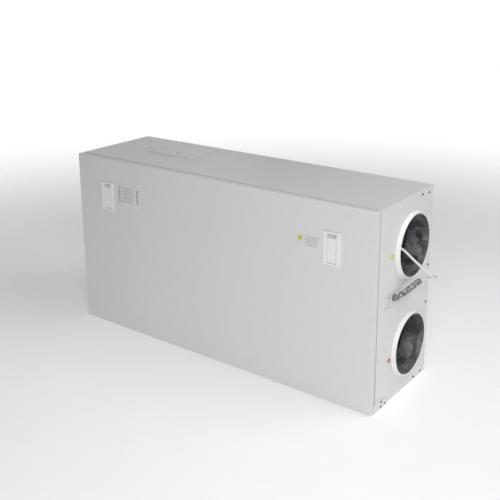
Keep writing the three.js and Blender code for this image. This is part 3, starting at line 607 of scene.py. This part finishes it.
# %% Rounding the folds of a panel
def softened(node, name, folds, finish, body, rest=0.00025):
    """A copy of a frame node with rounded folds. folds is a list of (test, radius): the test is given an
    edge's middle and its direction. Edges that no test picks get a hairline rounding of rest."""
    shape = bmesh.new()
    shape.from_mesh(frame["nodes"][node].data)
    bmesh.ops.remove_doubles(shape, verts=shape.verts, dist=2e-6)
    bmesh.ops.dissolve_limit(shape, angle_limit=0.004, verts=shape.verts, edges=shape.edges)
    sharp = [e for e in shape.edges if e.is_manifold and e.calc_face_angle() > math.radians(40)]
    chosen = {}
    for edge in sharp:
        middle = (edge.verts[0].co + edge.verts[1].co) / 2
        along = (edge.verts[1].co - edge.verts[0].co).normalized()
        radius = next((size for test, size in folds if test(middle, along)), rest)
        chosen.setdefault(radius, []).append(edge)
    for radius in sorted(chosen, reverse=True):
        edges = [e for e in chosen[radius] if e.is_valid]
        if radius > 0:
            bmesh.ops.bevel(shape, geom=edges, offset=radius, segments=5 if radius > 0.001 else 2,
                            profile=0.5, affect="EDGES", clamp_overlap=True)
    bmesh.ops.recalc_face_normals(shape, faces=shape.faces)
    mesh = bpy.data.meshes.new(name)
    shape.to_mesh(mesh)
    shape.free()
    normals, areas = np.zeros(3 * len(mesh.polygons)), np.zeros(len(mesh.polygons))
    mesh.polygons.foreach_get("normal", normals)
    mesh.polygons.foreach_get("area", areas)
    flat = (np.abs(normals.reshape(-1, 3)).max(1) > 0.99995) & (areas > 3e-5)
    mesh.set_sharp_from_angle(angle=math.radians(50))
    mesh.polygons.foreach_set("use_smooth", ~flat)
    mesh.materials.clear()
    mesh.materials.append(finish)
    piece = bpy.data.objects.new(name, mesh)
    bpy.context.collection.objects.link(piece)
    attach(piece, body)
    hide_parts(node)
    print(f"{name}: {len(mesh.polygons)} faces, folds " + ", ".join(
        f"{len(edges)} at {radius / MM:.2f} mm" for radius, edges in chosen.items()))
    return piece


def near(value, target, gap=0.0004):
    return abs(value - target) < gap


door_low, door_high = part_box("door_skin")
end_x, door_y, roof_z = door_high.x, door_low.y, door_high.z


def door_rim(middle, along):
    """The four outer folds of the door, and the four uprights of its corners."""
    on_face, on_side = near(middle.y, door_y), near(abs(middle.x), end_x)
    on_roof, on_foot = near(middle.z, roof_z), near(middle.z, door_low.z)
    is_upright = abs(along.y) > 0.9
    return (on_face and (on_side or on_roof or on_foot)) or (on_side and (on_roof or on_foot) and is_upright)


softened("door_skin", "door_sheet", [(door_rim, 0.0028)], door_paint, "door")

for node in ("right_end_panel", "left_end_panel"):
    low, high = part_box(node)
    outer = max(low.x, high.x, key=abs)

    def end_rim(middle, along, outer=outer, low=low, high=high):
        return near(middle.x, outer, 0.0008) and (near(middle.y, low.y) or near(middle.y, high.y))

    softened(node, node.replace("panel", "sheet"), [(end_rim, 0.003)], white_paint, "casing")

for node in ("top_panel", "bottom_panel", "back_panel"):
    softened(node, node.replace("panel", "sheet"), [], white_paint, "casing", 0.0004)
softened("service_cover", "service_plate", [], white_paint, "casing", 0.0005)

# %% [markdown]
# The latches are two moulded plates let into the door. A plate's rim, the arch of the gap round the paddle
# and the paddle's own edges are all eased, because a moulded part leaves its mould only if they are.

# %% Latches, hinge brackets and gland
for side in ("right", "left"):
    plate_low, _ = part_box(f"{side}_latch_housing")
    softened(f"{side}_latch_housing", f"{side}_latch_plate",
             [(lambda middle, along, y=plate_low.y: near(middle.y, y), 0.0009)], white_plastic, "door",
             0.0003)
    softened(f"{side}_latch_paddle", f"{side}_latch_grip", [], white_plastic, f"{side}_paddle",
             0.0006)
    softened(f"{side}_hinge_bracket", f"{side}_hinge_plate", [], white_paint, "casing", 0.0003)
softened("cord_gland", "lead_gland", [], grey_plastic, "casing", 0.0005)

# %% [markdown]
# A duct collar is a moulded ring: a straight spigot with a rounded lip, and a foot that flares out over
# the sheet. The metal sleeve inside it is rolled from a strip, so a lap seam runs
# along it. Both are profiles spun about the port's own axis.

# %% Collars and sleeves
COLLAR_INNER, COLLAR_OUTER, FOOT_OUTER = 80.3 * MM, 83.5 * MM, 87 * MM
SLEEVE_BORE, SLEEVE_OUTER, SLEEVE_LENGTH = 79 * MM, 80 * MM, 62.2 * MM


def collar_profile():
    """(radius, height from the end sheet) round the collar's wall: bore, rounded lip, spigot, flare, foot."""
    t = np.linspace(0, np.pi, 9)
    wall, lip = (COLLAR_OUTER - COLLAR_INNER) / 2, (COLLAR_OUTER + COLLAR_INNER) / 2
    rim = np.stack([lip - wall * np.cos(t), 9.4 * MM + wall * np.sin(t)], -1)
    s = np.linspace(0, np.pi / 2, 10)
    flare = np.stack([FOOT_OUTER - 0.5 * MM - 3 * MM * np.sin(s), 1.2 * MM + 4 * MM * (1 - np.cos(s))], -1)
    foot = [(FOOT_OUTER, 0.9 * MM), (FOOT_OUTER, 0.35 * MM)]
    return np.concatenate([[(COLLAR_INNER, 0.35 * MM)], rim, flare[::-1], foot])


def sleeve_profile():
    """(radius, height from the inner end) round the sleeve's thin wall, a plain cylinder with a cut edge."""
    h = np.linspace(0, SLEEVE_LENGTH, 5)
    inner, outer = [np.stack([np.full_like(h, radius), h], -1) for radius in (SLEEVE_BORE, SLEEVE_OUTER)]
    return np.concatenate([inner, outer[::-1]])


def lap_seam(centre, way, inner_end, length):
    """The strip where a sleeve's sheet overlaps itself: a thin bar along the bore, low on its front side."""
    angle = math.radians(222)
    spot = np.array([0, math.cos(angle), math.sin(angle)])
    low = np.array([inner_end + way * 4 * MM, centre[1], centre[2]]) + spot * (SLEEVE_BORE - 0.15 * MM)
    line = np.linspace(low, low + np.array([way * (length - 8 * MM), 0, 0]), 5)
    return drawn(line, 0.35 * MM, 8)


for port in ("extract", "supply", "outdoor", "exhaust"):
    low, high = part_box(f"{port}_collar")
    way = 1 if low.x > 0 else -1
    middle = np.array([way * 0.5, (low.y + high.y) / 2, (low.z + high.z) / 2])
    finished(f"{port}_duct_collar", turned(collar_profile(), middle, (way, 0, 0), 160, ring=True),
             white_plastic, "casing", [f"{port}_collar"])
    inner_end = way * 0.448
    sleeve = turned(sleeve_profile(), (inner_end, middle[1], middle[2]), (way, 0, 0), 144, ring=True)
    finished(f"{port}_duct_sleeve", joined([sleeve, lap_seam(middle, way, inner_end, SLEEVE_LENGTH)]),
             sleeve_zinc, "casing", [f"{port}_sleeve"])

# %% [markdown]
# The lead is the line from above with a circle carried along it. The first eight centimetres wear a grey
# ribbed guard against the sharp rim, which is a tube whose outer radius rises and falls along the line.

# %% The lead, its guard and its plug
GUARD_START, GUARD_LENGTH, RIB_PITCH = 8.6 * MM, 76 * MM, 5.4 * MM
lead_piece = finished("mains_lead", drawn(lead_line, CORD_RADIUS * MM, 14), lead_white, "casing",
                      ["cord_run", "cord_coil", "cord_tail"])


def ribbed_guard():
    """A tube round the lead: bore 3.4 mm, outer radius 5.6 mm plus 1.9 mm times |sin|^0.6 along it."""
    way = np.concatenate([[0], np.cumsum(lead_steps)])
    s = np.linspace(GUARD_START, GUARD_START + GUARD_LENGTH, 193)
    line = np.stack([np.interp(s, way, lead_line[:, k]) for k in range(3)], -1)
    _, side, other = frames_along(line)
    t = np.linspace(0, 2 * np.pi, 28, endpoint=False)
    ring = np.cos(t)[None, :, None] * side[:, None] + np.sin(t)[None, :, None] * other[:, None]
    outer = 5.6 * MM + 1.9 * MM * np.abs(np.sin(np.pi * (s - GUARD_START) / RIB_PITCH)) ** 0.6
    walls = [line[:, None] + np.broadcast_to(r, len(s))[:, None, None] * ring for r in (outer, 3.4 * MM)]
    return surface(np.concatenate([walls[0], walls[1][::-1]]), ring_columns=True)


guard = finished("lead_guard", ribbed_guard(), guard_grey, "casing", ["cord_sleeve"], 60)


def plug_body(axis_y, axis_z, back_x):
    """A round plug: relief with grooves, a shoulder, a body with a grip waist, and a rounded rim round a flat
    face.
    The profile runs from the cord end, heights counted towards the pins."""
    h = np.linspace(0, 20, 41)
    relief = np.stack([4.4 + 0.105 * h + 0.35 * np.cos(h * 2 * np.pi / 3.2), h], -1)
    shoulder = np.array([(6.9, 21.5), (7.8, 24), (8.4, 27), (11, 30.5), (15.5, 34), (18.4, 36.4), (19, 38.5)])
    t = np.linspace(0, 1, 13)
    waist = np.stack([19 - 1.6 * np.sin(np.pi * t) ** 2, 40 + 14 * t], -1)
    face = np.array([(18.9, 56.5), (18.2, 57.6), (17.2, 58), (0, 58)])
    profile = np.concatenate([[(0, 0)], relief, shoulder, waist, face]) * MM
    return turned(profile, (back_x, axis_y, axis_z), (-1, 0, 0), 56)


plug_low, plug_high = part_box("mains_plug")
plug_y, plug_z = (plug_low.y + plug_high.y) / 2, (plug_low.z + plug_high.z) / 2
pin_profile = np.array([(0, 0), (2.3, 0), (2.3, 10), (2.35, 10.2), (2.35, 17.2), (2.1, 18.4), (1.4, 19),
                        (0, 19)]) * MM
pins = joined([turned(pin_profile, (plug_high.x - 57.5 * MM, plug_y + s * 9.5 * MM, plug_z), (-1, 0, 0), 20)
               for s in (-1, 1)])
plug = finished("round_plug", plug_body(plug_y, plug_z, plug_high.x), white_plastic, "casing",
                ["mains_plug"])
plug_pins = finished("plug_pins", pins, bright_zinc, "casing")

# %% [markdown]
# Screws tell the eye how large a thing is. Each is a domed head with a cross recess. The head is a turned profile.
# The recess is not cut: its shade is painted as two crossed dark bars let into the head. All screws of one finish
# make one piece.

# %% Screws
def screw(place, axis, radius=3.6 * MM):
    """A pan head on the surface at place: height falls with the cosine of the way out, over a short rim."""
    t = np.linspace(0, np.pi / 2, 5)
    dome = np.stack([radius * np.sin(t), radius * (0.22 + 0.3 * np.cos(t))], -1)
    profile = np.concatenate([dome, [(radius, 0), (0, 0)]])
    return turned(profile, place, axis, 20)


def recess(place, axis, radius=3.6 * MM, turn=0.3):
    """Two crossed bars a little above the top of a screw's head, which paint the shade of its cross recess."""
    side, other, along = upright(axis)
    bars = []
    for angle in (turn, turn + math.pi / 2):
        way = math.cos(angle) * side + math.sin(angle) * other
        centre = np.array(place) + along * radius * 0.44
        line = np.linspace(-0.5, 0.5, 3)[:, None] * way * radius * 1.05 + centre
        bars.append(drawn(line, radius * 0.12, 8))
    return joined(bars)


end_face = end_x + 0.05 * MM
END_SCREWS = [(86, 508), (124, 505), (138, 307), (136, 204), (124, 8), (83, 8)]
casing_spots = [((end_face, y * MM, z * MM), (1, 0, 0)) for y, z in END_SCREWS]
casing_spots += [((-end_face, y * MM, z * MM), (-1, 0, 0)) for y, z in END_SCREWS]
back_y = frame_high.y
casing_spots += [((x, back_y, z), (0, 1, 0)) for x in (-0.47, -0.16, 0.16, 0.47) for z in (0.02, 0.5)]
finished("casing_screws", joined([screw(*spot, 3.1 * MM) for spot in casing_spots]), dark_screw, "casing")
# The crossed bars are black moulding: painted shade in each screw's cross recess, which is not cut into the head.
casing_recess_shade_bars = [recess(*spot, 3.1 * MM, 0.4 * k) for k, spot in enumerate(casing_spots)]
finished("casing_screw_recess_shade", joined(casing_recess_shade_bars), black_plastic, "casing")

_, bracket_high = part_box("right_hinge_bracket")
hinge_spots = [((s * (bracket_high.x), y * MM, z * MM), (s, 0, 0)) for s in (-1, 1)
               for y, z in ((-96, 19), (-76, 7), (-99, 6))]
hinge_screws = joined([screw(*spot, 2.9 * MM) for spot in hinge_spots])
finished("hinge_screws", hinge_screws, dark_screw, "casing")

_, cover_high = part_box("service_cover")
cover_spots = [((x * MM, y * MM, cover_high.z), (0, 0, 1)) for x, y in
               ((-334, -1), (-200, -5), (-338, 134), (-200, 134))]
cover_screws = joined([screw(*spot, 3.4 * MM) for spot in cover_spots])
finished("cover_screws", cover_screws, bright_zinc, "casing")
# The crossed bars are black moulding: painted shade in each screw's cross recess, which is not cut into the head.
cover_recess_shade_bars = joined([recess(*spot, 3.4 * MM) for spot in cover_spots])
finished("cover_screw_recess_shade", cover_recess_shade_bars, black_plastic, "casing")

# %% [markdown]
# The service cover carries two grey blanks that close unused cable holes, and the sheet in front of it
# has two small pressed slots. They are turned buttons and pads a millimetre high.

# %% Cable blanks and slots on the roof
blanks = [turned(np.array([(0, 0), (5.4, 0), (5.4, 0.9), (4.6, 1.5), (3.2, 1.7), (2.4, 1.1), (0, 1.0)]) * MM,
                 (x * MM, y * MM, cover_high.z), (0, 0, 1), 28) for x, y in ((-344 + 8, 44), (-258, 29))]
slots = [pad((x * MM, y * MM, roof_z - 0.3 * MM), (0, 0, 1), 4.5 * MM, 1.3 * MM, 1.2 * MM, 0.7 * MM, 0.2 * MM)
         for x, y in ((-284, -19), (-251, -21))]
finished("cable_blanks", joined(blanks + slots), blank_grey, "casing")

# %% [markdown]
# Stickers are vinyl with square-ish corners, a tenth of a millimetre thick. Their print is generic: plain
# coloured spots, bars and lines, with no lettering. The print is worked out from the sticker's own place,
# so that a bar is a test on two coordinates.

# %% Sticker finishes
def spot_mask(finish, across, up, at, radius):
    """1 inside a disc about the point at, in the plane of the wires across and up."""
    a, b = across - at[0] * MM, up - at[1] * MM
    return finish.between((a * a + b * b).power(0.5), radius * MM, (radius - 0.4) * MM)


def bar_mask(finish, across, up, centre, half):
    """1 inside a rectangle about centre with the half sizes half, in millimetres."""
    inside_a = finish.between(abs(across - centre[0] * MM), (half[0] + 0.2) * MM, (half[0] - 0.2) * MM)
    return inside_a * finish.between(abs(up - centre[1] * MM), (half[1] + 0.2) * MM, (half[1] - 0.2) * MM)


def vinyl(name, marks, axis="x", ground=grey(0.72)):
    """Film in the paint's own tone with marks. Each mark is (kind, centre, size, colour), and lies across
    x or y and up z."""
    film = Finish(name, Coat_Weight=0.3, Coat_Roughness=0.2)
    across = film.x if axis == "x" else film.y
    colour = film.blend(film.noise(60, 3), ground, tuple(c * 0.96 for c in ground[:3]) + (1,))
    for kind, centre, size, ink in marks:
        mask = spot_mask if kind == "spot" else bar_mask
        colour = film.blend(mask(film, across, film.z, centre, size), colour, ink)
    return film.done(Base_Color=colour, Roughness=0.34 + film.noise(300, 2) * 0.12,
                     Normal=film.bump(film.noise(900, 2), 0.00003))


INK, RED, AMBER = grey(0.2), (0.6, 0.12, 0.08, 1), (0.72, 0.62, 0.08, 1)
PALE = grey(0.42)
left_marks = [("bar", (-333, 442 - 10 * k), (3.0, 2.6), (0.5, 0.22, 0.18, 1)) for k in range(5)]
left_marks += [("bar", (-300 + 3 * (k % 2), 444 - 5.2 * k), (24 - 3 * (k % 2), 0.9), PALE) for k in range(9)]
left_marks += [("bar", (-263 + 0.5 * (k - 2) ** 2, 440 - 9 * k), (5, 3.4), PALE) for k in range(5)]
right_marks = [("spot", (291.5, 418), 7.5, AMBER), ("spot", (291.5, 418), 2.4, grey(0.25))]
right_marks += [("bar", (326 - 2 * (k % 2), 425 - 4.6 * k), (20 - 2 * (k % 2), 0.8), PALE) for k in range(6)]
yellow_mark, red_mark = [("spot", (-64, 389), 7.5, AMBER)], [("spot", (-61, 115), 7.5, RED)]
strip_marks = [("spot", (-88, 291), 3.6, (0.45, 0.5, 0.12, 1)),
               ("spot", (-88, 265), 3.2, (0.7, 0.3, 0.26, 1))]
strip_marks += [("bar", (-73, 294 - 5 * k), (2.6 - 0.8 * (k % 2), 1.5), INK) for k in range(7)]


def sticker(name, centre, axis, half, upward, marks, across, body, corner=2.0):
    film = pad(np.array(centre) * MM, axis, half[0] * MM, half[1] * MM, corner * MM, 0.16 * MM, 0.06 * MM,
               upward=upward)
    return finished(name, film, vinyl(name + "_print", marks, across), body)


face = door_y / MM - 0.05
side_at = end_x / MM + 0.25
sticker("left_front_sticker", (-295.5, face, 421), (0, -1, 0), (45, 32), (0, 0, 1), left_marks, "x", "door")
sticker("right_front_sticker", (313, face, 414), (0, -1, 0), (36, 16.5), (0, 0, 1), right_marks, "x", "door")
sticker("end_strip", (side_at, -80, 278), (1, 0, 0), (16, 22), (0, 0, 1), strip_marks, "y", "casing")
port_marks = (("upper_port_mark", (-64, 389), yellow_mark), ("lower_port_mark", (-61, 115), red_mark))
for name, place, marks in port_marks:
    sticker(name, (side_at, *place), (1, 0, 0), (8.6, 8.6), (0, 0, 1), marks, "y", "casing", 8.4)

# %% [markdown]
# Inside are the small things that show how the unit is put together: rivets on the exchanger's front
# plate, pull tabs on the filters, and rivets round the fans' inlets.

# %% Exchanger rivets and filter tabs
front_low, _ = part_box("exchanger_front_plate")
front_spots = [((x, front_low.y, z), (0, -1, 0))
               for x, z in ((-0.09, 0.44), (0.09, 0.44), (-0.09, 0.08), (0.09, 0.08),
                            (-0.205, 0.26), (0.205, 0.26))]
finished("exchanger_rivets", joined([screw(*spot, 3.2 * MM) for spot in front_spots]), bright_zinc, "casing")


def pull_tab(node):
    """A loop of webbing on a filter's front edge: a flat strap bent over in half a circle, 14 mm wide."""
    low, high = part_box(node)
    x, z = (low.x + high.x) / 2, low.z + 0.62 * (high.z - low.z)
    t = np.linspace(-0.25 * np.pi, 1.25 * np.pi, 13)
    ahead = low.y - 0.0008 - 0.0012 * (1 + np.sin(t))
    loop = np.stack([np.full_like(t, x), ahead, z + 0.011 * np.cos(t)], -1)
    inner = loop + np.stack([0 * t, 0.0009 + 0 * t, 0 * t], -1)
    half = np.array([0.007, 0, 0])
    ring = np.stack([loop - half, loop + half, inner + half, inner - half], 1)
    return surface(ring, lids=True)


for name in ("extract", "outdoor"):
    finished(f"{name}_filter_tab", pull_tab(f"{name}_filter_frame"), strap_webbing, "casing",
             (), 25)

# %% Fan rivets
rivets = []
for name in ("supply", "exhaust"):
    low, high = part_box(f"{name}_fan_plate")
    way = 1 if low.x > 0 else -1
    face_x = min(abs(low.x), abs(high.x)) * way
    spin = next(j for j in frame["joints"] if j["name"] == f"{name}_fan_spin")["pos_m"]
    for k in range(8):
        angle = math.radians(22.5 + 45 * k)
        spot = (face_x, spin[1] + 0.1 * math.cos(angle), spin[2] + 0.1 * math.sin(angle))
        rivets.append(screw(spot, (-way, 0, 0), 2.4 * MM))
finished("fan_plate_rivets", joined(rivets), bright_zinc, "casing")
print(len(rivets), "fan plate rivets")

# %% [markdown]
# What is left of the measured parts keeps its own mesh and takes the finish that its record names.

# %% Finishes on the measured parts
BY_SLOT = {
    "white_paint": white_paint, "galvanised": galvanised, "core_aluminium": aluminium,
    "lining_foam": lining_foam,
    "white_plastic": white_plastic, "black_plastic": black_plastic, "grey_plastic": grey_plastic,
    "seal_rubber": seal_rubber, "filter_media": filter_fleece, "filter_card": filter_card,
    "strap_webbing": strap_webbing, "board_green": circuit_green, "cord_pvc": lead_white,
    "exchanger_plates": exchanger_sheets,
}
slot_of = {part["node"]: part["material_slot"] for part in frame["record"]["subparts"]}
for node, part in frame["nodes"].items():
    if part.material_slots:
        for place in part.material_slots:
            place.material = BY_SLOT[slot_of[node]]
    else:
        part.data.materials.append(BY_SLOT[slot_of[node]])
print(len(frame["nodes"]), "measured parts have their finish")

# %% [markdown]
# The floor is a pale disc that fades out at its rim, so no horizon crosses the picture. The light is soft:
# a bright room all round, one large lamp at the right front, one overhead on the
# right, a weak one behind on the left, so that every
# side of the unit can be read.

# %% Floor
def pale_floor():
    """A disc of radius 6 m. Its opacity falls from 1 to 0 between 1.1 and 3 m from its middle."""
    radius = np.concatenate([[0], np.linspace(0.2, 6, 24)])
    disc = turned(np.stack([radius, np.full_like(radius, -0.0006)], -1), (0, 0, 0), (0, 0, 1), 96)
    mesh = bpy.data.meshes.new("floor")
    mesh.from_pydata(disc[0].tolist(), [], disc[1])
    floor = bpy.data.objects.new("floor", mesh)
    bpy.context.collection.objects.link(floor)
    paper = Finish("pale_floor", Emission_Strength=0.3)
    away = (paper.x * paper.x + paper.y * paper.y).power(0.5)
    tone = paper.blend(paper.noise(9, 4), grey(0.8), grey(0.84))
    mesh.materials.append(paper.done(Base_Color=tone, Emission_Color=tone,
                                     Roughness=0.8 + paper.noise(30, 2) * 0.1,
                                     Alpha=paper.between(away, 3.0, 1.1)))
    return floor


pale_floor()

# %% Room and lamps
room = bpy.data.worlds.new("room")
bpy.context.scene.world = room
room.use_nodes = True
air = room.node_tree
backdrop, seen = air.nodes["Background"], air.nodes.new("ShaderNodeBackground")
path, choice = air.nodes.new("ShaderNodeLightPath"), air.nodes.new("ShaderNodeMixShader")
backdrop.inputs["Color"].default_value = (1.0, 1.0, 1.0, 1)
backdrop.inputs["Strength"].default_value = 0.2
seen.inputs["Color"].default_value = (1.0, 1.0, 1.0, 1)
seen.inputs["Strength"].default_value = 1.0
air.links.new(path.outputs["Is Camera Ray"], choice.inputs[0])
air.links.new(backdrop.outputs[0], choice.inputs[1])
air.links.new(seen.outputs[0], choice.inputs[2])
air.links.new(choice.outputs[0], air.nodes["World Output"].inputs["Surface"])


def lamp(name, place, size, power, target=(0, 0, 0.26), tone=(1, 1, 1)):
    """A square area lamp at place that faces target."""
    data = bpy.data.lights.new(name, "AREA")
    data.size, data.energy, data.color = size, power, tone
    light = bpy.data.objects.new(name, data)
    bpy.context.collection.objects.link(light)
    light.location = place
    light.rotation_euler = (Vector(target) - Vector(place)).to_track_quat("-Z", "Y").to_euler()
    return light


lamp("right_front_lamp", (1.6, -2.0, 1.5), 1.1, 36, target=(0.3, -0.1, 0.35))
lamp("overhead_lamp", (1.3, 0.4, 2.0), 1.2, 17, target=(0.35, 0, 0.45))
lamp("left_back_lamp", (-2.6, 2.2, 0.5), 1.6, 8)
bpy.context.scene.view_settings.view_transform = "Standard"
bpy.context.scene.view_settings.look = "None"
print("one room, three lamps")
